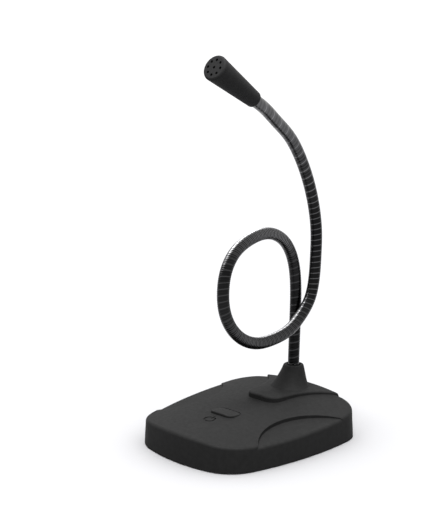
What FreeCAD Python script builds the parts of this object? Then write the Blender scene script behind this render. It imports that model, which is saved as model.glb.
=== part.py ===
import FreeCAD, Part
import math
import os
from FreeCAD import Rotation, Vector

# Desktop microphone: a weighted plastic base with a push button, a looped steel gooseneck that turns in
# the base and bends along its length, a small microphone head, and a lead wound up behind the base.
# Millimetres. The origin is the middle of the base's footprint on the table, +Y to the back, +Z up.

os.makedirs("parts", exist_ok=True)

# ---- driving dimensions ----
BASE_HALF_WIDTH = 45.5
BASE_HALF_LENGTH = 50.8
BASE_WIDEST_Y = 20.0         # the sides are widest here and draw in towards the front
SIDE_RADIUS = 180.0
FRONT_RADIUS = 90.0
REAR_RADIUS = 250.0
FRONT_CORNER = 23.0
REAR_CORNER = 18.0
SKIRT_Z = 0.3                # the cover's lower rim stands this far off the table, on the rubber feet
WALL = 2.2
DRAFT = 1.0                  # how far the outer walls lean in by the top
CROWN_RADIUS = 227.0         # the top is part of a wide cylinder lying front to back
CROWN_Z = 17.2               # height of the top over the origin
CROWN_SLOPE = 0.045          # rise of the top towards the back
EDGE_ROUND = 1.5
STEP_ROUND = 0.9             # the raised rear part's upper edge

CRESCENT_CENTRE = Vector(63.0, -3.5, 0)
CRESCENT_RADIUS = 36.4
CRESCENT_FLOOR = (Vector(38.3, -31.7, 11.6), Vector(26.6, -3.5, 13.7), Vector(45.0, 28.0, 13.5))

PLATEAU_Z = 20.6             # the raised rear part is arched like the top, but doesn't rise to the back
PLATEAU_LINE = ((4.2, 11.8), (11.3, 18.6), (12.3, 27.0), (24.0, 46.6))   # its right edge, front to back
PLATEAU_BACK = 54.0          # past the cover's back edge
BOOT_Y = 41.0
BOOT_TOP_Z = 32.1
BOOT_TOP_R = 5.5
BOOT_MOUTH_R = 4.1
BOOT_MOUTH_DEPTH = 1.2
BOOT_SECTIONS = ((36.3, 14.8, 17.4), (38.1, 10.1, 21.4), (39.8, 7.7, 26.0), (BOOT_Y, BOOT_TOP_R, BOOT_TOP_Z))
SOCKET_R = 4.7
SOCKET_WALL = 2.2
SOCKET_Z = 12.0              # lower end of the socket
SOCKET_LEDGE_Z = 28.4        # top of the wide bore that holds the bush
SLEEVE_R = 3.48              # the steel sleeve on the gooseneck's lower end
SLEEVE_Z = 17.7
SLEEVE_TOP = 28.6
SLEEVE_BORE = 3.9            # the cover's bore round the sleeve, above the bush
COLLAR_R = 4.3
COLLAR_T = 1.2
BUSH_Z = 19.3
BUSH_LENGTH = 9.0

BUTTON_Y = -13.7
BUTTON_W = 16.0
BUTTON_L = 9.6
BUTTON_CORNER = 3.4
BUTTON_PROUD = 1.2           # how far its front edge stands out of the cover
BUTTON_GAP = 0.2
BUTTON_STEM_Y = BUTTON_Y - 1.4
BUTTON_ARCH = 150.0          # radius of its top across the base
BUTTON_FLANGE = 0.9          # how far its hidden rim reaches under the cover
ICON_Y = -25.4
ICON_R = 3.3
ICON_LINE = 0.9
ICON_DEPTH = 0.5
ICON_GAP = 2.3               # width of the opening in its ring
ICON_BAR = 2.8               # length of its bar

PLATE_Z = 0.5
PLATE_T = 2.3
FOOT_POCKET = 0.8
BALLAST = (58.0, 42.0, 4.6)
BALLAST_Y = 12.0
BOARD = (40.0, 24.0, 1.2)
BOARD_Y = -22.0
BOARD_Z = 7.6
FOOT_PLACES = ((-27, -33), (27, -33), (-33, 34), (33, 34))
SCREW_PLACES = ((-17, -39), (17, -39), (-26, 41), (26, 41))
CLAMP_Y = 38.5

NECK_R = 3.25
NECK_BORE = 2.1
CORE_R = 1.45
CORE_BORE = 0.8
NECK_POINTS = (
    (0, 41, 20), (0, 41, 32), (0, 41.5, 48), (0, 42, 64), (0, 42, 75), (0, 41, 85), (0, 38, 94.5),
    (0, 31.5, 103), (0, 20.5, 108), (0.1, 4, 106.3), (0.4, -7.3, 100.7), (1, -14.8, 91),
    (1.8, -17.4, 81.5), (2.8, -17.6, 72.7), (4.1, -14, 63), (5.4, -6.6, 55.7), (6.5, 2.8, 52.1),
    (7.3, 14.5, 52.2), (7.8, 28.7, 55.8), (8, 37.3, 61.9), (8, 44.5, 70), (8, 47.8, 79.5),
    (8, 49.2, 93.5), (8, 49.4, 106), (8, 47, 120.5), (8, 42, 134.7), (8, 34.8, 148),
    (8.2, 25.2, 159.5), (8.8, 14, 167.4), (9.2, 4.3, 173.9), (9.8, -1.1, 176.4), (10.3, -5.2, 178.25),
)
NECK_START = 12.7            # where the visible tube starts, measured along the centreline
BEND_PLACES = (30, 62, 96, 130, 160, 190, 222, 252, 282, 314, 342)
BEND_GAP = 1.9               # each link stops this far short of a bend

HEAD_AXIS = Vector(0.11, -0.905, 0.41)
HEAD_LENGTH = 33.8
HEAD_TAIL = -1.1             # the housing reaches this far back over the gooseneck
HEAD_TIP_R = 6.5
HEAD_TAIL_R = 4.17
HEAD_CHAMBER_R = 4.7         # the bore behind the face, which holds the capsule
HEAD_FACE = 1.2              # thickness of the face
HEAD_HOLE_R = 0.7
HEAD_HOLE_RING = 3.76
HEAD_HOLES = 8
CAPSULE_R = 3.0
CAPSULE_L = 5.0

LEAD_R = 1.25
EXIT_HOLE_R = 2.35
EXIT_X = 16.0
EXIT_Z = 7.0
GLAND_LENGTH = 9.0
COIL_CENTRE = Vector(-25.0, 70.0, 0)
COIL_STRAIGHT = 32.0
COIL_TURNS_WIDE = 5
COIL_LAYERS = 2
COIL_INNER_R = 5.0           # bend radius of the innermost turn
TIE_WIDTH = 3.0
TIE_T = 0.5
PLUG_TAIL = Vector(-44.5, 59.8, 8.63)
PLUG_ANGLE = 0.0
PLUG_RELIEF = 9.0
PLUG_BODY = 34.0
PLUG_W = 15.5
PLUG_H = 7.2
SHELL = (12.0, 12.0, 4.5)    # length, width, thickness of the plug's metal shell

# Routes of the lead where it isn't coiled: from the gland to the coil, and from the coil to the plug.
LEAD_ROUTE = (
    (16.0, 59.4, 7.0), (16.0, 65.6, 7.0), (13.2, 73.0, 2.8), (6.0, 79.8, 1.4), (-2.0, 84.2, 1.3),
    (-9.0, 85.0, 1.3),
)
TAIL_ROUTE = (
    (-41.0, 85.0, 3.75), (-49.5, 84.5, 3.4), (-57.2, 81.8, 2.2), (-63.0, 76.5, 1.75),
    (-64.9, 68.9, 1.9), (-61.2, 62.2, 4.6), (-53.0, 59.8, 7.1), (-48.0, 59.8, 8.63), (-44.5, 59.8, 8.63),
)

UP = Vector(0, 0, 1)
SIDE = Vector(1, 0, 0)
TALL = 60.0                  # taller than anything in the base


# ---- general helpers ----
def save(name, *solids):
    shape = solids[0] if len(solids) == 1 else Part.makeCompound(list(solids))
    if not shape.isValid():
        print("INVALID", name)
    shape.exportStep("parts/" + name + ".step")
    box = shape.BoundBox
    print(f"{name}: {shape.Volume:.1f} mm3, z {box.ZMin:.2f} to {box.ZMax:.2f}, {len(shape.Solids)} solids")


def joined(*shapes):
    return shapes[0].multiFuse(list(shapes[1:])).removeSplitter()


def minus(shape, *cutters):
    for cutter in cutters:
        shape = shape.cut(cutter)
    return shape


def box(size, centre, bottom):
    """A box of (x, y, z) size standing on bottom, centred on (x, y)."""
    corner = Vector(centre[0] - size[0] / 2, centre[1] - size[1] / 2, bottom)
    return Part.makeBox(size[0], size[1], size[2], corner)


def disc(radius, height, centre, bottom):
    return Part.makeCylinder(radius, height, Vector(centre[0], centre[1], bottom), UP)


def tube(outer, inner, height, centre, bottom):
    return disc(outer, height, centre, bottom).cut(disc(inner, height, centre, bottom))


def rounded_rectangle(width, length, corner, centre, z):
    """A horizontal wire with rounded corners, centred on (x, y)."""
    x, y = width / 2, length / 2
    r = corner
    cx, cy = centre
    k = r * (1 - math.sqrt(0.5))
    corners = []
    for sx, sy in ((1, -1), (1, 1), (-1, 1), (-1, -1)):
        across = Vector(cx + sx * x, cy + sy * (y - r), z)
        middle = Vector(cx + sx * (x - k), cy + sy * (y - k), z)
        along = Vector(cx + sx * (x - r), cy + sy * y, z)
        corners.append((across, middle, along) if sx * sy > 0 else (along, middle, across))
    edges = []
    for i, (first, middle, last) in enumerate(corners):
        edges.append(Part.Arc(first, middle, last).toShape())
        edges.append(Part.LineSegment(last, corners[(i + 1) % 4][0]).toShape())
    return Part.Wire(edges)


def prism(wire, height):
    return Part.Face(wire).extrude(Vector(0, 0, height))


def unit(v):
    return Vector(v).normalize()


# ---- the base's outline: arcs that meet without a corner ----
def meeting_point(c1, r1, c2, r2, side):
    """Where two circles cross, on the side given by the sign of side."""
    gap = c2.sub(c1)
    d = gap.Length
    a = (r1 * r1 - r2 * r2 + d * d) / (2 * d)
    h = math.sqrt(r1 * r1 - a * a)
    along = gap.multiply(1 / d)
    return c1.add(Vector(along).multiply(a)).add(Vector(-along.y, along.x, 0).multiply(h * side))


def other_side(p):
    return Vector(-p.x, p.y, p.z)


def outward(centre, towards, radius):
    return centre.add(unit(towards.sub(centre)).multiply(radius))


def base_outline(inset, z):
    """The base's outline, drawn in by inset, as a wire at height z."""
    side = Vector(BASE_HALF_WIDTH - SIDE_RADIUS, BASE_WIDEST_Y, 0)
    front = Vector(0, FRONT_RADIUS - BASE_HALF_LENGTH, 0)
    rear = Vector(0, BASE_HALF_LENGTH - REAR_RADIUS, 0)
    low = meeting_point(side, SIDE_RADIUS - FRONT_CORNER, front, FRONT_RADIUS - FRONT_CORNER, -1)
    high = meeting_point(side, SIDE_RADIUS - REAR_CORNER, rear, REAR_RADIUS - REAR_CORNER, 1)
    if low.y > 0:
        low = meeting_point(side, SIDE_RADIUS - FRONT_CORNER, front, FRONT_RADIUS - FRONT_CORNER, 1)
    if high.x < 0:
        high = meeting_point(side, SIDE_RADIUS - REAR_CORNER, rear, REAR_RADIUS - REAR_CORNER, -1)
    a = low.add(unit(low.sub(front)).multiply(FRONT_CORNER - inset))
    b = low.add(unit(low.sub(side)).multiply(FRONT_CORNER - inset))
    c = high.add(unit(high.sub(side)).multiply(REAR_CORNER - inset))
    d = high.add(unit(high.sub(rear)).multiply(REAR_CORNER - inset))
    half = [
        (a, outward(low, a.add(b).multiply(0.5), FRONT_CORNER - inset), b),
        (b, outward(side, b.add(c).multiply(0.5), SIDE_RADIUS - inset), c),
        (c, outward(high, c.add(d).multiply(0.5), REAR_CORNER - inset), d),
    ]
    lift = Vector(0, 0, z)
    arcs = [(other_side(a), Vector(0, inset - BASE_HALF_LENGTH, 0), a)] + half
    arcs.append((d, Vector(0, BASE_HALF_LENGTH - inset, 0), other_side(d)))
    arcs += [tuple(other_side(p) for p in reversed(arc)) for arc in reversed(half)]
    return Part.Wire([Part.Arc(*[p.add(lift) for p in arc]).toShape() for arc in arcs])


def under_arch(ridge, slope, radius, lowered=0):
    """A wide cylinder lying front to back, whose ridge passes through a point before it is lowered."""
    along = unit(Vector(0, 1, slope))
    across = unit(Vector(0, -slope, 1))
    axis = ridge.sub(Vector(across).multiply(radius))
    start = axis.sub(Vector(along).multiply(2 * TALL))
    return Part.makeCylinder(radius - lowered, 4 * TALL, start, along)


def crown(lowered):
    """Everything under the top surface, lowered by an amount."""
    return under_arch(Vector(0, 0, CROWN_Z), CROWN_SLOPE, CROWN_RADIUS, lowered)


def arch_drop(x):
    """How far the arched surfaces fall away from the middle at x."""
    return CROWN_RADIUS - math.sqrt(CROWN_RADIUS ** 2 - x * x)


def top_z(x, y):
    """Height of the cover's top surface over a point."""
    return CROWN_Z + CROWN_SLOPE * y - arch_drop(x)


def tapered_block(inset, bottom, top):
    """The outline as a block whose walls lean in by DRAFT between the skirt and the top."""
    rings = [base_outline(inset + DRAFT * (z - SKIRT_Z) / CROWN_Z, z) for z in (bottom, top)]
    return Part.makeLoft(rings, True, True)


def above_floor(lowered):
    """Everything above the crescent's floor plane."""
    p1, p2, p3 = CRESCENT_FLOOR
    normal = unit(p2.sub(p1).cross(p3.sub(p1)))
    if normal.z < 0:
        normal.multiply(-1)
    block = Part.makeBox(200, 200, 40, Vector(-100, -100, 0))
    block.Placement = FreeCAD.Placement(p2.sub(Vector(normal).multiply(lowered)), Rotation(UP, normal))
    return block


def crescent(radius, lowered):
    """What the arc-shaped step takes off the right side of the top."""
    centre = (CRESCENT_CENTRE.x, CRESCENT_CENTRE.y)
    return disc(radius, TALL, centre, 0).common(above_floor(lowered))


def tangent_arc(start, along, end):
    """An arc that leaves start along a direction and reaches end, and the direction it ends in."""
    chord = end.sub(start)
    turn = math.atan2(along.x * chord.y - along.y * chord.x, along.dot(chord))
    across = Vector(chord.y, -chord.x, 0)
    middle = start.add(end).multiply(0.5).add(across.multiply(math.tan(turn / 2) / 2))
    cos, sin = math.cos(2 * turn), math.sin(2 * turn)
    after = Vector(along.x * cos - along.y * sin, along.x * sin + along.y * cos, 0)
    return Part.Arc(start, middle, end).toShape(), after


def plateau_outline(z):
    """The raised rear part in plan: a rounded tongue in front, and wings that sweep to the back corners."""
    points = [Vector(x, y, z) for x, y in PLATEAU_LINE]
    along = Vector(1, 0, 0)
    right = []
    for start, end in zip(points, points[1:]):
        arc, along = tangent_arc(start, along, end)
        right.append(arc)
    corner = points[-1].add(along.multiply((PLATEAU_BACK - points[-1].y) / along.y))
    right.append(Part.LineSegment(points[-1], corner).toShape())
    left = [edge.mirror(Vector(0, 0, 0), SIDE) for edge in right]
    front = Part.LineSegment(other_side(points[0]), points[0]).toShape()
    back = Part.LineSegment(corner, other_side(corner)).toShape()
    return Part.Wire(Part.__sortEdges__([front, back] + right + left))


def boot():
    rings = [Part.Wire(Part.makeCircle(r, Vector(0, y, z), UP)) for y, r, z in BOOT_SECTIONS]
    return round_edges(Part.makeLoft(rings, True, False), 0.9, lambda e: e.BoundBox.ZMin > BOOT_TOP_Z - 0.01)


def round_edges(solid, radius, wanted):
    """Rounds the edges for which wanted(edge) holds, or says that it left them sharp."""
    edges = [e for e in solid.Edges if wanted(e)]
    try:
        rounded = solid.makeFillet(radius, edges)
        if rounded.isValid() and rounded.Solids:
            return rounded
    except (Part.OCCError, ValueError):
        pass
    print("edges left sharp:", len(edges))
    return solid


# ---- the base ----
def rim_edge(edge):
    """Whether an edge runs along the top of the outer wall."""
    points = [edge.valueAt(edge.FirstParameter + t * (edge.LastParameter - edge.FirstParameter))
              for t in (0.02, 0.5, 0.98)]
    wall = base_outline(DRAFT, 0)
    return all(p.z > 8 for p in points) and all(
        wall.distToShape(Part.Vertex(Vector(p.x, p.y, 0)))[0] < 0.6 for p in points)


def plateau_edge(edge):
    middle = edge.valueAt((edge.FirstParameter + edge.LastParameter) / 2)
    return abs(middle.z - PLATEAU_Z + arch_drop(middle.x)) < 0.1


def button_wire(grow, z):
    size = (BUTTON_W + 2 * grow, BUTTON_L + 2 * grow)
    return rounded_rectangle(size[0], size[1], BUTTON_CORNER + grow, (0, BUTTON_Y), z)


def power_icon():
    """The engraved on-off sign: an open ring with a bar."""
    z = top_z(0, ICON_Y) - ICON_DEPTH
    ring = tube(ICON_R, ICON_R - ICON_LINE, TALL, (0, ICON_Y), z)
    gap = box((ICON_GAP, ICON_R, TALL), (0, ICON_Y + 3 * ICON_R / 4), z)
    bar = box((ICON_LINE, ICON_BAR, TALL), (0, ICON_Y + ICON_R - ICON_BAR / 4), z)
    return [ring.cut(gap), bar]


def cover_outside():
    block = tapered_block(0, SKIRT_Z, BOOT_TOP_Z + 1)
    body = block.common(crown(0))
    cut = crescent(CRESCENT_RADIUS, 0)
    body = body.cut(cut).cut(cut.mirror(Vector(0, 0, 0), SIDE))
    body = round_edges(body, EDGE_ROUND, rim_edge)
    raised = prism(plateau_outline(10), TALL).common(block)
    plateau = raised.common(under_arch(Vector(0, 0, PLATEAU_Z), 0, CROWN_RADIUS))
    plateau = round_edges(plateau, STEP_ROUND, plateau_edge)
    flare = boot().common(raised)
    return joined(body, plateau, flare)


def cover_inside():
    cavity = tapered_block(WALL, SKIRT_Z - 1, 22).common(crown(WALL))
    keep = crescent(CRESCENT_RADIUS + WALL, WALL)
    posts = [disc(3.2, TALL, place, PLATE_Z + PLATE_T) for place in SCREW_PLACES]
    socket = disc(SOCKET_R + SOCKET_WALL, TALL, (0, BOOT_Y), SOCKET_Z)
    return minus(cavity, keep, keep.mirror(Vector(0, 0, 0), SIDE), socket, *posts)


def top_cover():
    cover = cover_outside().cut(cover_inside())
    holes = [disc(1.25, 8, place, 0) for place in SCREW_PLACES]
    holes.append(disc(SOCKET_R, SOCKET_LEDGE_Z - SOCKET_Z, (0, BOOT_Y), SOCKET_Z))
    holes.append(disc(SLEEVE_BORE, SLEEVE_TOP + 0.4 - SOCKET_Z, (0, BOOT_Y), SOCKET_Z))
    holes.append(disc(NECK_R + 0.3, TALL, (0, BOOT_Y), SOCKET_Z))
    holes.append(disc(BOOT_MOUTH_R, TALL, (0, BOOT_Y), BOOT_TOP_Z - BOOT_MOUTH_DEPTH))
    holes.append(prism(button_wire(BUTTON_GAP, 5), 20))
    holes.append(Part.makeCylinder(EXIT_HOLE_R, TALL, Vector(EXIT_X, 44, EXIT_Z), Vector(0, 1, 0)))
    return minus(cover, *holes, *power_icon())


def bottom_plate():
    plate = prism(base_outline(WALL + 0.35, PLATE_Z), PLATE_T)
    pockets = [disc(5.1, FOOT_POCKET, place, PLATE_Z) for place in FOOT_PLACES]
    holes = [disc(1.7, 10, place, 0) for place in SCREW_PLACES]
    heads = [disc(3.0, 1.0, place, PLATE_Z) for place in SCREW_PLACES]
    posts = [disc(2.4, BOARD_Z - PLATE_Z - PLATE_T, (x, y), PLATE_Z + PLATE_T) for x, y in board_corners()]
    rails = [box((16.0, 1.2, 3), (0, BALLAST_Y + s * (BALLAST[1] / 2 + 1)), PLATE_Z + PLATE_T)
             for s in (-1, 1)]
    return minus(joined(plate, *posts, *rails), *pockets, *holes, *heads)


def board_corners():
    x, y = BOARD[0] / 2 - 3, BOARD[1] / 2 - 3
    return [(sx * x, BOARD_Y + sy * y) for sx in (-1, 1) for sy in (-1, 1)]


def cover_screw(x, y):
    head = disc(2.7, 0.8, (x, y), PLATE_Z + 0.1)
    shank = disc(1.2, 5.6, (x, y), PLATE_Z + 0.9)
    drive = box((3.6, 0.7, 0.5), (x, y), PLATE_Z + 0.1).fuse(box((0.7, 3.6, 0.5), (x, y), PLATE_Z + 0.1))
    return head.fuse(shank).cut(drive)


def circuit_board():
    board = box(BOARD, (0, BOARD_Y), BOARD_Z)
    return minus(board, *[disc(0.9, 3, place, BOARD_Z - 1) for place in board_corners()])


def board_screw(x, y):
    return disc(1.6, 0.9, (x, y), BOARD_Z + BOARD[2])


def board_chips():
    top = BOARD_Z + BOARD[2]
    chips = [((6.2, 5.0, 1.5), (-11, BOARD_Y - 2)), ((3.0, 1.6, 0.9), (-4, BOARD_Y - 6)),
             ((2.0, 1.2, 0.8), (4, BOARD_Y - 6)), ((4.4, 3.6, 1.2), (10, BOARD_Y - 3)),
             ((2.0, 1.2, 0.8), (3, BOARD_Y - 2.5))]
    return [box(size, place, top) for size, place in chips]


SWITCH_TOP = BOARD_Z + BOARD[2] + 2.6


def power_switch():
    body = box((6.6, 5.6, 2.6), (0, BUTTON_STEM_Y), BOARD_Z + BOARD[2])
    return body.cut(disc(1.6, 2.0, (0, BUTTON_STEM_Y), SWITCH_TOP - 1.9))


def switch_plunger():
    return disc(1.3, 2.4, (0, BUTTON_STEM_Y), SWITCH_TOP - 0.8)


def power_button():
    """A rounded key, level with the cover at its back edge and standing out at its front edge."""
    low = SWITCH_TOP + 1.5
    back, front = BUTTON_Y + BUTTON_L / 2, BUTTON_Y - BUTTON_L / 2
    slope = (top_z(0, front) + BUTTON_PROUD - top_z(0, back)) / (front - back)
    arch = under_arch(Vector(0, back, top_z(0, back)), slope, BUTTON_ARCH)
    key = prism(button_wire(0, low), TALL).common(arch)
    key = round_edges(key, 0.5, lambda e: min(v.Z for v in e.Vertexes) > top_z(0, front) - 0.9)
    flange = prism(button_wire(BUTTON_FLANGE, low), 0.8)
    hollow = prism(rounded_rectangle(BUTTON_W - 3, BUTTON_L - 3, 2, (0, BUTTON_Y), low), 2.1)
    stem = disc(1.8, 2.2, (0, BUTTON_STEM_Y), low + 0.1)
    return joined(minus(joined(key, flange), hollow), stem)


# ---- the socket that the gooseneck turns in ----
def socket_bush():
    return tube(SOCKET_R - 0.02, SLEEVE_R + 0.07, BUSH_LENGTH, (0, BOOT_Y), BUSH_Z)


def neck_foot():
    """The steel sleeve on the gooseneck's lower end, with the collar that keeps it in the socket."""
    sleeve = disc(SLEEVE_R, SLEEVE_TOP - SLEEVE_Z, (0, BOOT_Y), SLEEVE_Z)
    collar = disc(COLLAR_R, COLLAR_T, (0, BOOT_Y), SLEEVE_Z)
    step = disc(NECK_R, 4.0, (0, BOOT_Y), SLEEVE_TOP - 0.2)
    return joined(sleeve, collar, step).cut(disc(CORE_R + 0.1, TALL, (0, BOOT_Y), 10))


def neck_retainer():
    """The washer plate under the collar, held by two posts of its own."""
    plate = box((18, 11, 1.6), (0, BOOT_Y), 15.6)
    return plate.common(disc(SOCKET_R - 0.1, 4, (0, BOOT_Y), 14)).cut(disc(2.0, 6, (0, BOOT_Y), 13))


# ---- the gooseneck ----
class Centreline:
    """The gooseneck's smooth centreline, measured by distance along it."""

    def __init__(self, points):
        self.curve = Part.BSplineCurve()
        self.curve.interpolate([Vector(*p) for p in points])
        self.length = self.curve.length()

    def at(self, distance):
        return self.curve.value(self.curve.parameterAtDistance(distance, self.curve.FirstParameter))


def bent_rod(first, middle, last, outer, inner):
    """A round rod or tube along the arc through three points."""
    chord = last.sub(first)
    bow = middle.sub(first.add(last).multiply(0.5)).Length
    if bow < 0.02:
        rod = Part.makeCylinder(outer, chord.Length, first, chord)
        return rod.cut(Part.makeCylinder(inner, chord.Length, first, chord)) if inner else rod
    arc = Part.Arc(first, middle, last).toShape()
    tangent = arc.tangentAt(arc.FirstParameter)
    angle = math.degrees(arc.LastParameter - arc.FirstParameter)
    face = Part.Face(Part.Wire(Part.makeCircle(outer, first, tangent)))
    if inner:
        face = face.cut(Part.Face(Part.Wire(Part.makeCircle(inner, first, tangent)))).Faces[0]
    return face.revolve(arc.Curve.Center, arc.Curve.Axis, angle)


def stretch(line, start, end, outer, inner):
    return bent_rod(line.at(start), line.at((start + end) / 2), line.at(end), outer, inner)


def gooseneck(line):
    """Saves the links and the flexible core pieces, which run from the middle of one link to the next."""
    stops = [NECK_START] + list(BEND_PLACES) + [line.length]
    middles = [(a + b) / 2 for a, b in zip(stops, stops[1:])]
    last = len(stops) - 2
    for i in range(len(stops) - 1):
        start = stops[i] + (BEND_GAP if i else 0)
        end = stops[i + 1] - (BEND_GAP if i < last else 0.1)
        save(f"neck_link_{i + 1:02d}", stretch(line, start, end, NECK_R, NECK_BORE))
    for i in range(last):
        save(f"neck_core_{i + 1:02d}", stretch(line, middles[i] + 0.2, middles[i + 1] - 0.2, CORE_R, CORE_BORE))
    for i, place in enumerate(BEND_PLACES):
        point = line.at(place)
        along = unit(line.at(place + 0.5).sub(line.at(place - 0.5)))
        print(f"bend {i + 1:02d} at {point.x:.2f} {point.y:.2f} {point.z:.2f} along "
              f"{along.x:.3f} {along.y:.3f} {along.z:.3f}")


# ---- the microphone head, made upright and then laid along its axis ----
def on_neck(solid, line):
    placed = solid.copy()
    placed.Placement = FreeCAD.Placement(line.at(line.length), Rotation(UP, unit(HEAD_AXIS)))
    return placed


def turned(profile):
    """A solid of revolution about Z from (radius, height) points."""
    points = [Vector(r, 0, z) for r, z in profile]
    return Part.Face(Part.makePolygon(points + points[:1])).revolve(Vector(0, 0, 0), UP, 360)


def mic_housing():
    body = turned([(0, HEAD_TAIL), (HEAD_TAIL_R, HEAD_TAIL), (HEAD_TIP_R, HEAD_LENGTH), (0, HEAD_LENGTH)])
    body = round_edges(body, 1.2, lambda e: e.BoundBox.ZMin > HEAD_LENGTH - 0.01)
    body = round_edges(body, 0.8, lambda e: e.BoundBox.ZMax < HEAD_TAIL + 0.01)
    face = HEAD_LENGTH - HEAD_FACE
    cavity = turned([(0, 9.6), (HEAD_TAIL_R - 0.6, 9.6), (HEAD_CHAMBER_R, 22),
                     (HEAD_CHAMBER_R, face), (0, face)])
    mouth = disc(NECK_R + 0.25, 12.2, (0, 0), HEAD_TAIL - 0.1)
    holes = [disc(HEAD_HOLE_R, 4, (0, 0), HEAD_LENGTH - 3)]
    for i in range(HEAD_HOLES):
        angle = 2 * math.pi * i / HEAD_HOLES
        place = (HEAD_HOLE_RING * math.cos(angle), HEAD_HOLE_RING * math.sin(angle))
        holes.append(disc(HEAD_HOLE_R, 4, place, HEAD_LENGTH - 3))
    return minus(body, cavity, mouth, *holes)


def head_pieces(line):
    face = HEAD_LENGTH - HEAD_FACE
    capsule_z = face - 0.9 - CAPSULE_L
    return {
        "mic_housing": mic_housing(),
        "neck_ferrule": tube(NECK_R + 0.15, 1.2, 9.0, (0, 0), 0.1),
        "wind_felt": disc(HEAD_CHAMBER_R - 0.1, 0.8, (0, 0), face - 0.85),
        "mic_capsule": disc(CAPSULE_R, CAPSULE_L, (0, 0), capsule_z),
        "capsule_gasket": tube(HEAD_CHAMBER_R - 0.05, CAPSULE_R, 4.2, (0, 0), capsule_z + 0.4),
        "capsule_leads": disc(0.9, capsule_z - 9.2, (0, 0), 9.15),
    }


# ---- the lead ----
def bent_tube(route, radius, name):
    """A solid tube along straight runs joined by the largest tangent arcs that fit."""
    points = [Vector(*p) for p in route]
    runs = [b.sub(a).Length for a, b in zip(points, points[1:])]
    pieces = []
    here = points[0]
    radii = []
    for i in range(1, len(points) - 1):
        back = unit(points[i - 1].sub(points[i]))
        ahead = unit(points[i + 1].sub(points[i]))
        half_turn = (math.pi - back.getAngle(ahead)) / 2
        reach = 0.45 * min(runs[i - 1], runs[i])
        arc_radius = reach / math.tan(half_turn)
        radii.append(round(arc_radius, 1))
        start = points[i].add(Vector(back).multiply(reach))
        end = points[i].add(Vector(ahead).multiply(reach))
        inward = unit(back.add(ahead))
        middle = points[i].add(Vector(inward).multiply(arc_radius / math.cos(half_turn) - arc_radius))
        pieces.append(Part.LineSegment(here, start).toShape())
        pieces.append(Part.Arc(start, middle, end).toShape())
        here = end
    pieces.append(Part.LineSegment(here, points[-1]).toShape())
    path = Part.Wire(pieces)
    ring = Part.Wire(Part.makeCircle(radius, points[0], points[1].sub(points[0])))
    swept = path.makePipeShell([ring], True, False)
    expected = math.pi * radius ** 2 * path.Length
    print(f"{name}: length {path.Length:.1f}, volume ratio {swept.Volume / expected:.3f}, radii {radii}")
    return swept


def racetrack(radius, z):
    """A wire round the coil: two straights and two half circles."""
    size = (COIL_STRAIGHT + 2 * radius, 2 * radius)
    return rounded_rectangle(size[0], size[1], radius - 0.001, (COIL_CENTRE.x, COIL_CENTRE.y), z)


def coil_section():
    """The bend radii of the coil's inside and outside, and its height."""
    inner = COIL_INNER_R - LEAD_R
    return inner, inner + COIL_TURNS_WIDE * 2 * LEAD_R, COIL_LAYERS * 2 * LEAD_R


def lead_coil():
    inner, outer, height = coil_section()
    return prism(racetrack(outer, 0), height).cut(prism(racetrack(inner, 0), height))


def coil_tie():
    """The twist tie round the coil's far side."""
    inner, outer, height = coil_section()
    wide = outer - inner
    place = (COIL_CENTRE.x + 3, COIL_CENTRE.y + (inner + outer) / 2)
    loop = box((TIE_WIDTH, wide + 2 * TIE_T, height + TIE_T), place, 0)
    return loop.cut(box((TIE_WIDTH, wide, height), place, 0))


def lead_gland():
    """The tapered strain relief, with the waist that sits in the cover's wall."""
    out = Vector(0, 1, 0)
    y0 = LEAD_ROUTE[0][1] - GLAND_LENGTH
    flange = Part.makeCylinder(3.4, 1.6, Vector(EXIT_X, y0 - 5.0, EXIT_Z), out)
    waist = Part.makeCylinder(EXIT_HOLE_R - 0.1, 3.5, Vector(EXIT_X, y0 - 3.45, EXIT_Z), out)
    taper = Part.makeCone(2.7, 1.8, GLAND_LENGTH, Vector(EXIT_X, y0, EXIT_Z), out)
    return joined(flange, waist, taper)


def lead_clamp():
    """The bridge that holds the lead down inside the base."""
    bridge = box((12, 4, 4.4), (EXIT_X, CLAMP_Y), PLATE_Z + PLATE_T)
    channel = Part.makeCylinder(LEAD_R + 0.05, 10, Vector(EXIT_X, CLAMP_Y - 5, 4.6), Vector(0, 1, 0))
    return bridge.cut(channel)


def clamp_screws():
    return [disc(1.3, 1.0, (EXIT_X + s * 4.2, CLAMP_Y), PLATE_Z + PLATE_T + 4.4) for s in (-1, 1)]


def inner_leads():
    """The leads inside the base: from the gland to the board, and from the socket to the board."""
    usb = [(EXIT_X, 45.35, 7.0), (EXIT_X, 44.4, 7.0), (EXIT_X, 42.4, 4.6), (EXIT_X, 35.0, 4.6),
           (30.0, 36.0, 4.6), (32.0, 30.0, 4.6), (32.0, -10.0, 5.0), (22.4, -16.0, 8.2)]
    mic = [(0, BOOT_Y - 0.2, 15.0), (-2.5, 38.5, 10.0), (-14, 22.0, 8.6), (-14, -2.0, 8.6), (-12, -8.6, 9.0)]
    solids = []
    for route, radius in ((usb, LEAD_R - 0.1), (mic, 0.8)):
        points = [Vector(*p) for p in route]
        rods = [Part.makeCylinder(radius, b.sub(a).Length, a, b.sub(a)) for a, b in zip(points, points[1:])]
        knuckles = [Part.makeSphere(radius, p) for p in points[1:-1]]
        solids.append(joined(*(rods + knuckles)))
    return solids


# ---- the plug, made along +X from its tail and then laid on the coil ----
def on_coil(solid):
    placed = solid.copy()
    placed.Placement = FreeCAD.Placement(PLUG_TAIL, Rotation(UP, PLUG_ANGLE))
    return placed


def upright_section(x, width, height, corner):
    """A rounded rectangle standing across the plug's length."""
    wire = rounded_rectangle(width, height, corner, (0, 0), 0)
    turn = FreeCAD.Placement(Vector(x, 0, 0), Rotation(Vector(1, 1, 1), 120))
    wire.Placement = turn
    return wire


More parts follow.
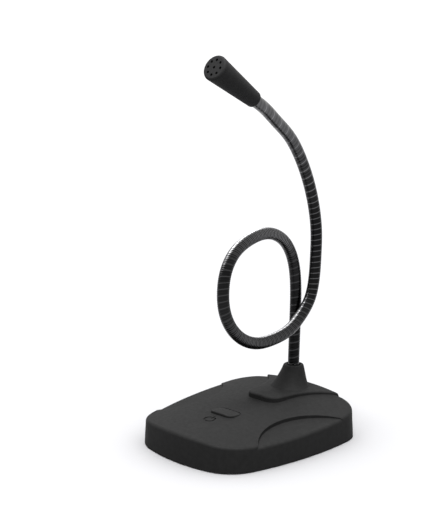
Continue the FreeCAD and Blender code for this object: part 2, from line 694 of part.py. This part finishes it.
def plug_overmould():
    start = PLUG_RELIEF
    shapes = ((0, 0.40, 0.66), (3, 0.60, 0.80), (12, 0.88, 0.96), (27, 1.0, 1.0), (PLUG_BODY, 0.98, 0.97))
    rings = [upright_section(start + x, PLUG_W * w, PLUG_H * h, 2.4 * min(w, h)) for x, w, h in shapes]
    body = Part.makeLoft(rings, True, False)
    ledge = Part.makeBox(9.0, PLUG_W + 1.6, 3.0, Vector(start + PLUG_BODY - 9.0, -PLUG_W / 2 - 0.8, -3.4))
    slot = Part.makeBox(4.0, SHELL[1], SHELL[2], Vector(start + PLUG_BODY - 3.0, -SHELL[1] / 2, -SHELL[2] / 2))
    return joined(body, ledge).cut(slot)


def plug_relief():
    return Part.makeCone(1.7, 2.3, PLUG_RELIEF, Vector(0, 0, 0), SIDE)


def plug_shell():
    length, width, height = SHELL
    start = PLUG_RELIEF + PLUG_BODY - 3.0
    outside = Part.makeBox(length + 3, width, height, Vector(start, -width / 2, -height / 2))
    inside = Part.makeBox(length + 2, width - 0.7, height - 0.7,
                          Vector(start + 1.5, -width / 2 + 0.35, -height / 2 + 0.35))
    windows = [Part.makeBox(2.2, 2.2, 2, Vector(start + 8.6, y - 1.1, height / 2 - 1)) for y in (-2.9, 2.9)]
    return minus(outside, inside, *windows)


def plug_tongue():
    length, width, height = SHELL
    start = PLUG_RELIEF + PLUG_BODY - 1.5
    return Part.makeBox(length + 0.8, width - 0.9, 1.7, Vector(start, -width / 2 + 0.45, -height / 2 + 0.4))


def plug_contacts():
    start = PLUG_RELIEF + PLUG_BODY - 1.0
    top = -SHELL[2] / 2 + 2.1
    return [Part.makeBox(11.0, 1.0, 0.25, Vector(start, y - 0.5, top)) for y in (-3.5, -1.0, 1.0, 3.5)]


def save_base():
    save("top_cover", top_cover())
    save("bottom_plate", bottom_plate())
    save("ballast_plate", box(BALLAST, (0, BALLAST_Y), PLATE_Z + PLATE_T))
    save("rubber_feet", *[disc(5.0, PLATE_Z + FOOT_POCKET, place, 0) for place in FOOT_PLACES])
    save("cover_screws", *[cover_screw(x, y) for x, y in SCREW_PLACES])
    save("circuit_board", circuit_board())
    save("board_screws", *[board_screw(x, y) for x, y in board_corners()])
    save("board_chips", *board_chips())
    save("power_switch", power_switch())
    save("switch_plunger", switch_plunger())
    save("power_button", power_button())
    save("socket_bush", socket_bush())
    save("neck_retainer", neck_retainer())
    save("neck_foot", neck_foot())


def save_lead():
    save("lead_gland", lead_gland())
    save("lead_clamp", lead_clamp())
    save("clamp_screws", *clamp_screws())
    save("inner_leads", *inner_leads())
    save("lead_run", bent_tube(LEAD_ROUTE, LEAD_R, "lead_run"))
    save("lead_coil", lead_coil())
    save("lead_tail", bent_tube(TAIL_ROUTE, LEAD_R, "lead_tail"))
    save("coil_tie", coil_tie())
    save("plug_overmould", on_coil(plug_overmould()))
    save("plug_relief", on_coil(plug_relief()))
    save("plug_shell", on_coil(plug_shell()))
    save("plug_tongue", on_coil(plug_tongue()))
    save("plug_contacts", *[on_coil(contact) for contact in plug_contacts()])


def main():
    line = Centreline(NECK_POINTS)
    print(f"gooseneck centreline {line.length:.1f} mm")
    save_base()
    gooseneck(line)
    for name, solid in head_pieces(line).items():
        save(name, on_neck(solid, line))
    save_lead()


main()
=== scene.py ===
import bpy
import math
import numpy as np
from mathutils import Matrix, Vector


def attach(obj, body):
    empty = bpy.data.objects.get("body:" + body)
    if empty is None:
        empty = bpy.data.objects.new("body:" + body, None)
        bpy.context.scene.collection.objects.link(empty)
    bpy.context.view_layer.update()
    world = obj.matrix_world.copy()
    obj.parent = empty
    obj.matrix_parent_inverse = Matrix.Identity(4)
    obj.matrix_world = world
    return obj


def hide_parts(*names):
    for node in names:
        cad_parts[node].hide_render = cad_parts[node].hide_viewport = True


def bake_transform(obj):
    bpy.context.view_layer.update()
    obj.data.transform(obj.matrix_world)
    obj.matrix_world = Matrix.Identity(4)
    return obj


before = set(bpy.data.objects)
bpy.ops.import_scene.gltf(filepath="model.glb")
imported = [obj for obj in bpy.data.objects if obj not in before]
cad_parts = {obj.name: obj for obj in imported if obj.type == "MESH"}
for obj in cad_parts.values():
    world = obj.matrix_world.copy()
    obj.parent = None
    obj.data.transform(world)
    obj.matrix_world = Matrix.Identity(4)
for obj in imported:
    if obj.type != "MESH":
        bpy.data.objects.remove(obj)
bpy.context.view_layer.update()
MM = 0.001


# ---- camera ----
CAMERA_AT = Vector((0.3121, -0.3317, 0.1695))
CAMERA_AZIMUTH = math.radians(44.74)
CAMERA_PITCH = math.radians(9.555)
LENS_MM = 60.0


def make_camera():
    back = Vector((math.sin(CAMERA_AZIMUTH) * math.cos(CAMERA_PITCH),
                   -math.cos(CAMERA_AZIMUTH) * math.cos(CAMERA_PITCH), math.sin(CAMERA_PITCH)))
    data = bpy.data.cameras.new("camera")
    data.sensor_fit = "AUTO"
    data.sensor_width = 36.0
    data.lens = LENS_MM
    data.clip_start = 0.01
    data.clip_end = 20
    camera = bpy.data.objects.new("camera", data)
    bpy.context.scene.collection.objects.link(camera)
    camera.location = CAMERA_AT
    camera.rotation_euler = back.to_track_quat("Z", "Y").to_euler()
    bpy.context.scene.camera = camera


# ---- materials ----
class Nodes:
    """A material's node tree with short helpers."""

    def __init__(self, name):
        self.material = bpy.data.materials.new(name)
        self.material.use_nodes = True
        self.tree = self.material.node_tree
        self.shader = self.tree.nodes["Principled BSDF"]

    def add(self, kind, **sockets):
        node = self.tree.nodes.new(kind)
        for key, value in sockets.items():
            node.inputs[key.replace("_", " ")].default_value = value
        return node

    def link(self, a, b):
        self.tree.links.new(a, b)

    def set(self, **sockets):
        for key, value in sockets.items():
            self.shader.inputs[key.replace("_", " ")].default_value = value
        return self

    def coords(self):
        return self.add("ShaderNodeTexCoord").outputs["Object"]

    def noise(self, scale, detail=2.0):
        node = self.add("ShaderNodeTexNoise", Scale=scale, Detail=detail)
        self.link(self.coords(), node.inputs["Vector"])
        return node.outputs["Fac"]

    def ramp(self, fac, low, high, start=0.35, end=0.65):
        node = self.tree.nodes.new("ShaderNodeValToRGB")
        node.color_ramp.elements[0].position = start
        node.color_ramp.elements[0].color = low
        node.color_ramp.elements[1].position = end
        node.color_ramp.elements[1].color = high
        self.link(fac, node.inputs["Fac"])
        return node.outputs["Color"]

    def bump(self, height, strength, distance):
        node = self.add("ShaderNodeBump", Strength=strength, Distance=distance)
        self.link(height, node.inputs["Height"])
        self.link(node.outputs["Normal"], self.shader.inputs["Normal"])


def grey(v, alpha=1.0):
    return (v, v, v * 1.02, alpha)


def plastic(name, low, high, rough, grain=2600.0, tint=(1, 1, 1)):
    """Moulded plastic: a fine texture, and slight variation in tone and gloss."""
    n = Nodes(name).set(Roughness=rough, Specular_IOR_Level=0.04)
    tones = [tuple(t * v for t in tint) + (1,) for v in (low, high)]
    n.link(n.ramp(n.noise(420.0, 4.0), *tones), n.shader.inputs["Base Color"])
    n.link(n.ramp(n.noise(600.0, 3.0), grey(rough - 0.03), grey(rough + 0.03)), n.shader.inputs["Roughness"])
    n.bump(n.noise(grain, 2.0), 0.3, 0.00004)
    return n.material


def speckled(name, low, high, rough, grain):
    """Soft-touch plastic: a fine two-tone speckle over a matte surface."""
    n = Nodes(name).set(Roughness=rough, Specular_IOR_Level=0.06)
    fine = n.noise(grain, 4.0)
    n.link(n.ramp(fine, grey(low), grey(high), 0.3, 0.7), n.shader.inputs["Base Color"])
    n.link(n.ramp(n.noise(300.0, 3.0), grey(rough - 0.05), grey(rough + 0.05)), n.shader.inputs["Roughness"])
    n.bump(fine, 0.5, 0.00006)
    return n.material


def felt(name):
    """Short felt: tangled fibres, with a little sheen."""
    n = Nodes(name).set(Roughness=0.95, Specular_IOR_Level=0.1, Sheen_Weight=0.2)
    fibres = n.noise(5200.0, 6.0)
    n.link(n.ramp(fibres, grey(0.006), grey(0.02), 0.3, 0.7), n.shader.inputs["Base Color"])
    n.bump(fibres, 0.9, 0.00012)
    return n.material


def metal(name, colour, rough):
    """Plated or turned metal: faint marks, and gloss that varies."""
    n = Nodes(name).set(Metallic=1.0)
    worn = tuple(c * 0.82 for c in colour) + (1,)
    n.link(n.ramp(n.noise(160.0, 4.0), worn, tuple(colour) + (1,), 0.3, 0.6), n.shader.inputs["Base Color"])
    n.link(n.ramp(n.noise(300.0, 4.0), grey(rough - 0.06), grey(rough + 0.08)), n.shader.inputs["Roughness"])
    n.bump(n.noise(900.0, 2.0), 0.3, 0.00002)
    return n.material


def paint(material, *nodes):
    for node in nodes:
        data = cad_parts[node].data
        data.materials.clear()
        data.materials.append(material)


def paint_frame():
    """Gives every CAD node that stays its own material."""
    paint(plastic("cover plastic", 0.0095, 0.0115, 0.6), "top_cover")
    paint(plastic("plate plastic", 0.012, 0.016, 0.65, grain=1800.0), "bottom_plate", "lead_clamp")
    paint(plastic("button plastic", 0.009, 0.011, 0.58), "power_button")
    paint(speckled("soft black plastic", 0.008, 0.015, 0.68, 3200.0), "mic_housing")
    paint(plastic("foot rubber", 0.02, 0.03, 0.8, grain=1500.0), "rubber_feet", "capsule_gasket")
    paint(plastic("lead gland rubber", 0.014, 0.02, 0.6, grain=1500.0), "lead_gland", "plug_relief")
    paint(plastic("plug cover", 0.012, 0.018, 0.5, grain=1900.0), "plug_overmould")
    paint(plastic("tie coating", 0.014, 0.02, 0.45, grain=1200.0), "coil_tie")
    paint(plastic("plug insulator", 0.5, 0.56, 0.5), "plug_tongue")
    paint(plastic("bush nylon", 0.3, 0.36, 0.5), "socket_bush")
    paint(plastic("board lacquer", 0.5, 0.7, 0.35, tint=(0.03, 0.22, 0.09)), "circuit_board")
    paint(plastic("chip resin", 0.012, 0.018, 0.5), "board_chips", "power_switch")
    paint(plastic("plunger nylon", 0.05, 0.07, 0.5), "switch_plunger")
    paint(plastic("lead rubber inside", 0.02, 0.03, 0.5), "inner_leads", "capsule_leads")
    paint(felt("wind felt"), "wind_felt")
    paint(metal("plug nickel", (0.62, 0.6, 0.57), 0.22), "plug_shell")
    paint(metal("contact gold", (0.83, 0.62, 0.25), 0.25), "plug_contacts")
    paint(metal("screw steel", (0.32, 0.32, 0.33), 0.35), "cover_screws", "board_screws", "clamp_screws")
    paint(metal("neck fitting steel", (0.07, 0.07, 0.073), 0.3),
          "neck_foot", "neck_retainer", "neck_ferrule")
    paint(metal("capsule aluminium", (0.6, 0.6, 0.61), 0.4), "mic_capsule")
    paint(metal("ballast steel", (0.35, 0.34, 0.33), 0.55), "ballast_plate")


# ---- the lead ----
LEAD_D = 2.5
LEAD_ROUTE = (
    (16.0, 59.4, 7.0), (16.0, 65.6, 7.0), (13.2, 73.0, 2.8), (6.0, 79.8, 1.4), (-2.0, 84.2, 1.3),
    (-9.0, 85.0, 1.3),
)
CROSSING = [(-17.0, 85.0, 1.27), (-29.0, 85.0, 1.27)]    # from the run to the coil's first turn
TAIL_ROUTE = (
    (-41.0, 85.0, 3.75), (-49.5, 84.5, 3.4), (-57.2, 81.8, 2.2), (-63.0, 76.5, 1.75),
    (-64.9, 68.9, 1.9), (-61.2, 62.2, 4.6), (-53.0, 59.8, 7.1), (-48.0, 59.8, 8.63), (-44.5, 59.8, 8.63),
)
COIL_RIGHT = (-9.0, 70.0)
COIL_LEFT = (-41.0, 70.0)
COIL_OUTER, COIL_INNER = 15.0, 5.0
TURNS_LOW, TURNS_HIGH = 5, 4
LAYER_Z = (1.27, 3.73)
RISE_FROM, RISE_TURNS = 4.5, 0.5       # where the turns climb to the upper layer
POINTS_PER_END = 5
POINT_STEP = 36                        # degrees
BULGE = 0.9515                         # how far in the curve cuts a corner of its points
TOP_SHIFT = 12


def coil_points():
    """The coil's turns: inwards on the floor, up at the middle, and outwards on top of those."""
    points = []
    steps = [("left", 108 + POINT_STEP * i) for i in range(POINTS_PER_END)] + [("low", 0)]
    steps += [("right", -72 + POINT_STEP * i) for i in range(POINTS_PER_END)] + [("top", 0)]
    count = len(steps)
    for turn in range(TURNS_LOW + TURNS_HIGH):
        for i, (kind, angle) in enumerate(steps):
            u = turn + (i + 1.0) / count
            if u < TURNS_LOW:
                radius = max(COIL_INNER, COIL_OUTER - LEAD_D * u)
            else:
                radius = COIL_INNER + LEAD_D * (u - TURNS_LOW)
            lift = min(1.0, max(0.0, (u - RISE_FROM) / RISE_TURNS))
            z = LAYER_Z[0] + (LAYER_Z[1] - LAYER_Z[0]) * lift * lift * (3 - 2 * lift)
            if kind in ("left", "right"):
                cx, cy = COIL_LEFT if kind == "left" else COIL_RIGHT
                reach = radius / BULGE
                a = math.radians(angle)
                points.append((cx + reach * math.cos(a), cy + reach * math.sin(a), z))
            else:
                side = -1 if kind == "low" else 1
                middle = (COIL_LEFT[0] + COIL_RIGHT[0]) / 2
                shift = TOP_SHIFT if kind == "top" else 0
                points.append((middle + shift, COIL_LEFT[1] + side * radius, z))
    return points


def make_lead(material):
    points = list(LEAD_ROUTE) + CROSSING + coil_points() + list(TAIL_ROUTE)
    data = bpy.data.curves.new("lead", "CURVE")
    data.dimensions = "3D"
    data.bevel_depth = LEAD_D / 2 * MM
    data.bevel_resolution = 6
    data.resolution_u = 8
    data.use_fill_caps = True
    spline = data.splines.new("NURBS")
    spline.points.add(len(points) - 1)
    for target, p in zip(spline.points, points):
        target.co = (p[0] * MM, p[1] * MM, p[2] * MM, 1.0)
    spline.order_u = 3
    spline.use_endpoint_u = True
    lead = bpy.data.objects.new("lead", data)
    bpy.context.scene.collection.objects.link(lead)
    lead.data.materials.append(material)
    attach(lead, "base")
    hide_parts("lead_run", "lead_coil", "lead_tail")


# ---- meshes ----
def new_mesh(name, verts, faces, material, smooth=True):
    data = bpy.data.meshes.new(name)
    data.from_pydata([tuple(v) for v in verts], [], faces)
    data.validate()
    data.polygons.foreach_set("use_smooth", [smooth] * len(data.polygons))
    data.materials.append(material)
    piece = bpy.data.objects.new(name, data)
    bpy.context.scene.collection.objects.link(piece)
    return piece


def ring_faces(rows, count):
    """Quads between rows of count points each, going round."""
    faces = []
    for r in range(rows - 1):
        a = r * count
        for i in range(count):
            j = (i + 1) % count
            faces.append((a + i, a + j, a + count + j, a + count + i))
    return faces


# ---- the gooseneck ----
NECK_R = 3.25
NECK_POINTS = (
    (0, 41, 20), (0, 41, 32), (0, 41.5, 48), (0, 42, 64), (0, 42, 75), (0, 41, 85), (0, 38, 94.5),
    (0, 31.5, 103), (0, 20.5, 108), (0.1, 4, 106.3), (0.4, -7.3, 100.7), (1, -14.8, 91),
    (1.8, -17.4, 81.5), (2.8, -17.6, 72.7), (4.1, -14, 63), (5.4, -6.6, 55.7), (6.5, 2.8, 52.1),
    (7.3, 14.5, 52.2), (7.8, 28.7, 55.8), (8, 37.3, 61.9), (8, 44.5, 70), (8, 47.8, 79.5),
    (8, 49.2, 93.5), (8, 49.4, 106), (8, 47, 120.5), (8, 42, 134.7), (8, 34.8, 148),
    (8.2, 25.2, 159.5), (8.8, 14, 167.4), (9.2, 4.3, 173.9), (9.8, -1.1, 176.4), (10.3, -5.2, 178.25),
)
BEND_PLACES = (30, 62, 96, 130, 160, 190, 222, 252, 282, 314, 342)
NECK_START = 12.9
NECK_END = 371.5
SKIN_STEP = 0.16
SKIN_AROUND = 30
BAND_AT = (0, 80, 110, 290, 330, 371)
BANDS = (4.3, 4.3, 3.1, 3.1, 5.7, 8.4)       # width of one turn of the winding at these places
TURNS_AT = np.linspace(0, NECK_END, 2000)
TURNS = np.cumsum(np.gradient(TURNS_AT) / np.interp(TURNS_AT, BAND_AT, BANDS))
RIDGES = 3
RIDGE_DEPTH = 0.22
PLAIN_TONE = 0.3
SEAM_WIDTH = 0.06            # in turns
SEAM_HEIGHT = 0.03
SEAM_SHOWS = 0.05
GROOVE_SHADE = 0.9
# At places along the neck: how open the fine ribs are (which also sets the painted shade in their grooves),
# how bright the painted reflection on the plating is and how bright the painted glints on the seams are. Set
# to bring the tones along the neck near the real ones. They aren't worked out from its bends.
RIBS_AND_PAINTED_LIGHT_AT = (12, 50, 62, 74, 80, 88, 98, 110, 120, 130, 140, 152, 164, 172, 182, 194, 206, 218, 230, 242,
           285, 296, 308, 320, 332, 344, 371)
RIBS = (0.3, 0.3, 0.3, 0.5, 0.6, 0.8, 1.0, 1.0, 0.9, 0.8, 0.5, 0.5, 0.6, 0.8, 1.0, 1.0, 1.0, 0.9, 0.6, 0.4,
        0.3, 0.3, 0.3, 0.3, 0.2, 0.2, 0.2)
PAINTED_REFLECTION = (0.25, 0.35, 0.8, 1.15, 1.5, 2.1, 2.2, 2.0, 1.6, 1.3, 0.4, 0.8, 1.15, 1.5, 1.8, 1.6, 1.5, 1.35,
           1.05, 0.4, 0.35, 0.9, 1.1, 1.3, 1.6, 1.75, 1.8)
# Brightness of the painted glints on the seams, at each place along the neck.
PAINTED_SEAM_GLINTS = (0.1, 0.12, 0.14, 0.14, 0.12, 0.1, 0.1, 0.1, 0.1, 0.1, 0.15, 0.15, 0.15, 0.12, 0.1, 0.1, 0.1, 0.1,
         0.2, 0.35, 0.35, 0.45, 0.5, 0.55, 0.6, 0.7, 0.75)


class Spline:
    """A natural cubic spline through points, by chord length, measured by distance along it."""

    def __init__(self, points):
        p = np.array(points, float)
        t = np.concatenate([[0], np.cumsum(np.linalg.norm(np.diff(p, axis=0), axis=1))])
        n = len(p)
        h = np.diff(t)
        a = np.zeros((n, n))
        b = np.zeros((n, 3))
        a[0, 0] = a[-1, -1] = 1
        for i in range(1, n - 1):
            a[i, i - 1], a[i, i], a[i, i + 1] = h[i - 1], 2 * (h[i - 1] + h[i]), h[i]
            b[i] = 6 * ((p[i + 1] - p[i]) / h[i] - (p[i] - p[i - 1]) / h[i - 1])
        self.t, self.p, self.h, self.m = t, p, h, np.linalg.solve(a, b)
        fine = np.linspace(0, t[-1], 6000)
        q = self.raw(fine)
        self.s = np.concatenate([[0], np.cumsum(np.linalg.norm(np.diff(q, axis=0), axis=1))])
        self.fine = fine
        self.length = self.s[-1]

    def raw(self, u):
        u = np.clip(u, 0, self.t[-1])
        i = np.clip(np.searchsorted(self.t, u, side="right") - 1, 0, len(self.h) - 1)
        h, left, right = self.h[i][:, None], (u - self.t[i])[:, None], (self.t[i + 1] - u)[:, None]
        m, p = self.m, self.p
        return (m[i] * right ** 3 + m[i + 1] * left ** 3) / (6 * h) + (p[i] / h - m[i] * h / 6) * right + (
            p[i + 1] / h - m[i + 1] * h / 6) * left

    def at(self, s):
        s = np.atleast_1d(np.asarray(s, float))
        q = self.raw(np.interp(s, self.s, self.fine))
        over = np.clip(s - self.length, 0, None)[:, None]
        end = self.raw(np.array([self.t[-1] - 0.05, self.t[-1]]))
        return q + over * (end[1] - end[0]) / np.linalg.norm(end[1] - end[0])


def frames_along(points):
    """Two directions across the line at each point, carried along it without twist."""
    tangent = np.gradient(points, axis=0)
    tangent /= np.linalg.norm(tangent, axis=1)[:, None]
    across = np.zeros_like(points)
    across[0] = (1, 0, 0)
    for i in range(1, len(points)):
        v = across[i - 1] - tangent[i] * np.dot(across[i - 1], tangent[i])
        across[i] = v / np.linalg.norm(v)
    return across, np.cross(tangent, across)


def winding(s, angle):
    """Radius and tone of the wound tube, by distance along it and angle round it. The tone holds painted
    reflection, painted shade in the grooves and painted glints on the seams.
    """
    phase = (np.interp(s, TURNS_AT, TURNS) - angle / (2 * math.pi)) % 1.0
    ridge = np.abs(np.sin(math.pi * RIDGES * phase))
    ribs = np.interp(s, RIBS_AND_PAINTED_LIGHT_AT, RIBS)
    radius = NECK_R - RIDGE_DEPTH * ribs * (1 - ridge)
    near = np.minimum(phase, 1 - phase)
    seam = np.exp(-(near / SEAM_WIDTH) ** 2)
    # Painted reflection: a brightness set per place along the neck stands in for how the plating reflects
    # the lamps, and the grooves between the ribs get painted shade.
    tone = PLAIN_TONE * np.interp(s, RIBS_AND_PAINTED_LIGHT_AT, PAINTED_REFLECTION) * (1 - GROOVE_SHADE * ribs * (1 - ridge))
    # The seams are painted bright. This stands in for glints of the lamps on the edge of each turn.
    seam_glint = PLAIN_TONE + (1 - PLAIN_TONE) * seam * np.interp(s, RIBS_AND_PAINTED_LIGHT_AT, PAINTED_SEAM_GLINTS)
    return radius + SEAM_HEIGHT * seam, np.maximum(tone, np.where(seam > SEAM_SHOWS, seam_glint, 0))


def make_neck(material):
    line = Spline(NECK_POINTS)
    stops = [NECK_START] + list(BEND_PLACES) + [NECK_END]
    middles = [(a + b) / 2 for a, b in zip(stops, stops[1:])]
    cuts = [NECK_START] + middles[1:-1] + [NECK_END]
    s_all = np.arange(NECK_START, NECK_END + SKIN_STEP / 2, SKIN_STEP)
    centre = line.at(s_all)
    across, other = frames_along(centre)
    angles = np.linspace(0, 2 * math.pi, SKIN_AROUND, endpoint=False)
    pieces = []
    for k in range(len(BEND_PLACES)):
        rows = np.where((s_all >= cuts[k] - SKIN_STEP) & (s_all <= cuts[k + 1] + SKIN_STEP))[0]
        verts, tones = [], []
        for r in rows:
            radius, tone = winding(s_all[r], angles)
            ring = centre[r] + radius[:, None] * (np.cos(angles)[:, None] * across[r]
                                                  + np.sin(angles)[:, None] * other[r])
            verts.append(ring * MM)
            tones.append(tone)
        count = len(rows)
        faces = ring_faces(count, SKIN_AROUND)
        faces.append(tuple(range(SKIN_AROUND))[::-1])
        faces.append(tuple(range((count - 1) * SKIN_AROUND, count * SKIN_AROUND)))
        piece = new_mesh(f"gooseneck_{k + 1:02d}", np.concatenate(verts), faces, material)
        attribute = piece.data.attributes.new("tone", "FLOAT", "POINT")
        attribute.data.foreach_set("value", np.concatenate(tones).astype(np.float32))
        names = [f"neck_link_{k + 1:02d}", f"neck_core_{k + 1:02d}"]
        if k == len(BEND_PLACES) - 1:
            names.append(f"neck_link_{k + 2:02d}")
        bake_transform(piece)
        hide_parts(*names)
        pieces.append(piece)
    return pieces


def neck_material():
    """Black nickel plating, with painted glints along the edge of each turn and painted reflection
    brightness along the neck.
    """
    n = Nodes("black nickel winding").set(Metallic=1.0)
    tone = n.tree.nodes.new("ShaderNodeAttribute")
    tone.attribute_name = "tone"
    ramp = n.tree.nodes.new("ShaderNodeValToRGB")
    stops = ramp.color_ramp.elements
    stops[0].color = grey(0.006)
    stops[1].color = grey(0.3)
    for place, value in ((PLAIN_TONE, 0.018), (1.6 * PLAIN_TONE, 0.085)):
        stops.new(place).color = grey(value)
    n.link(tone.outputs["Fac"], ramp.inputs["Fac"])
    n.link(ramp.outputs["Color"], n.shader.inputs["Base Color"])
    n.link(n.ramp(n.noise(700.0, 3.0), grey(0.22), grey(0.32)), n.shader.inputs["Roughness"])
    n.bump(n.noise(2400.0, 3.0), 0.25, 0.00002)
    return n.material


# ---- surroundings ----
FLOOR_HALF = 6.0


def area_light(name, at, target, size_x, size_y, power):
    data = bpy.data.lights.new(name, "AREA")
    data.shape = "RECTANGLE"
    data.size = size_x
    data.size_y = size_y
    data.energy = power
    light = bpy.data.objects.new(name, data)
    bpy.context.scene.collection.objects.link(light)
    light.location = at
    light.rotation_euler = (Vector(at) - Vector(target)).to_track_quat("Z", "Y").to_euler()
    return light


def receivers(name, pieces, state):
    """A group that a lamp lights alone, or leaves out."""
    group = bpy.data.collections.new(name)
    for piece in pieces:
        group.objects.link(piece)
    for member in group.collection_objects:
        member.light_linking.link_state = state
    return group


def surroundings(neck):
    world = bpy.data.worlds.new("studio")
    world.use_nodes = True
    sky = world.node_tree.nodes["Background"]
    sky.inputs["Color"].default_value = (1, 1, 1, 1)
    sky.inputs["Strength"].default_value = 1.13
    bpy.context.scene.world = world
    n = Nodes("white floor").set(Roughness=0.9, Specular_IOR_Level=0.0)
    n.link(n.ramp(n.noise(3.0), grey(0.95), grey(0.96)), n.shader.inputs["Base Color"])
    corners = [(x * FLOOR_HALF, y * FLOOR_HALF, 0) for x, y in ((-1, -1), (1, -1), (1, 1), (-1, 1))]
    floor = new_mesh("floor", corners, [(0, 1, 2, 3)], n.material, False)
    everything_else = receivers("all but the floor and the gooseneck", [floor] + neck, "EXCLUDE")
    on_neck = receivers("gooseneck only", neck, "INCLUDE")
    side = area_light("side", (-0.56, -0.01, 0.77), (0, 0, 0.08), 0.9, 0.45, 36.0)
    side.light_linking.receiver_collection = on_neck
    overhead = area_light("overhead", (0.12, -0.1, 0.95), (0, 0, 0.08), 0.6, 0.6, 26.0)
    overhead.light_linking.receiver_collection = everything_else
    bpy.context.scene.view_settings.view_transform = "Standard"


def main():
    make_camera()
    make_lead(plastic("lead rubber", 0.014, 0.02, 0.5, grain=1500.0))
    paint_frame()
    surroundings(make_neck(neck_material()))


main()
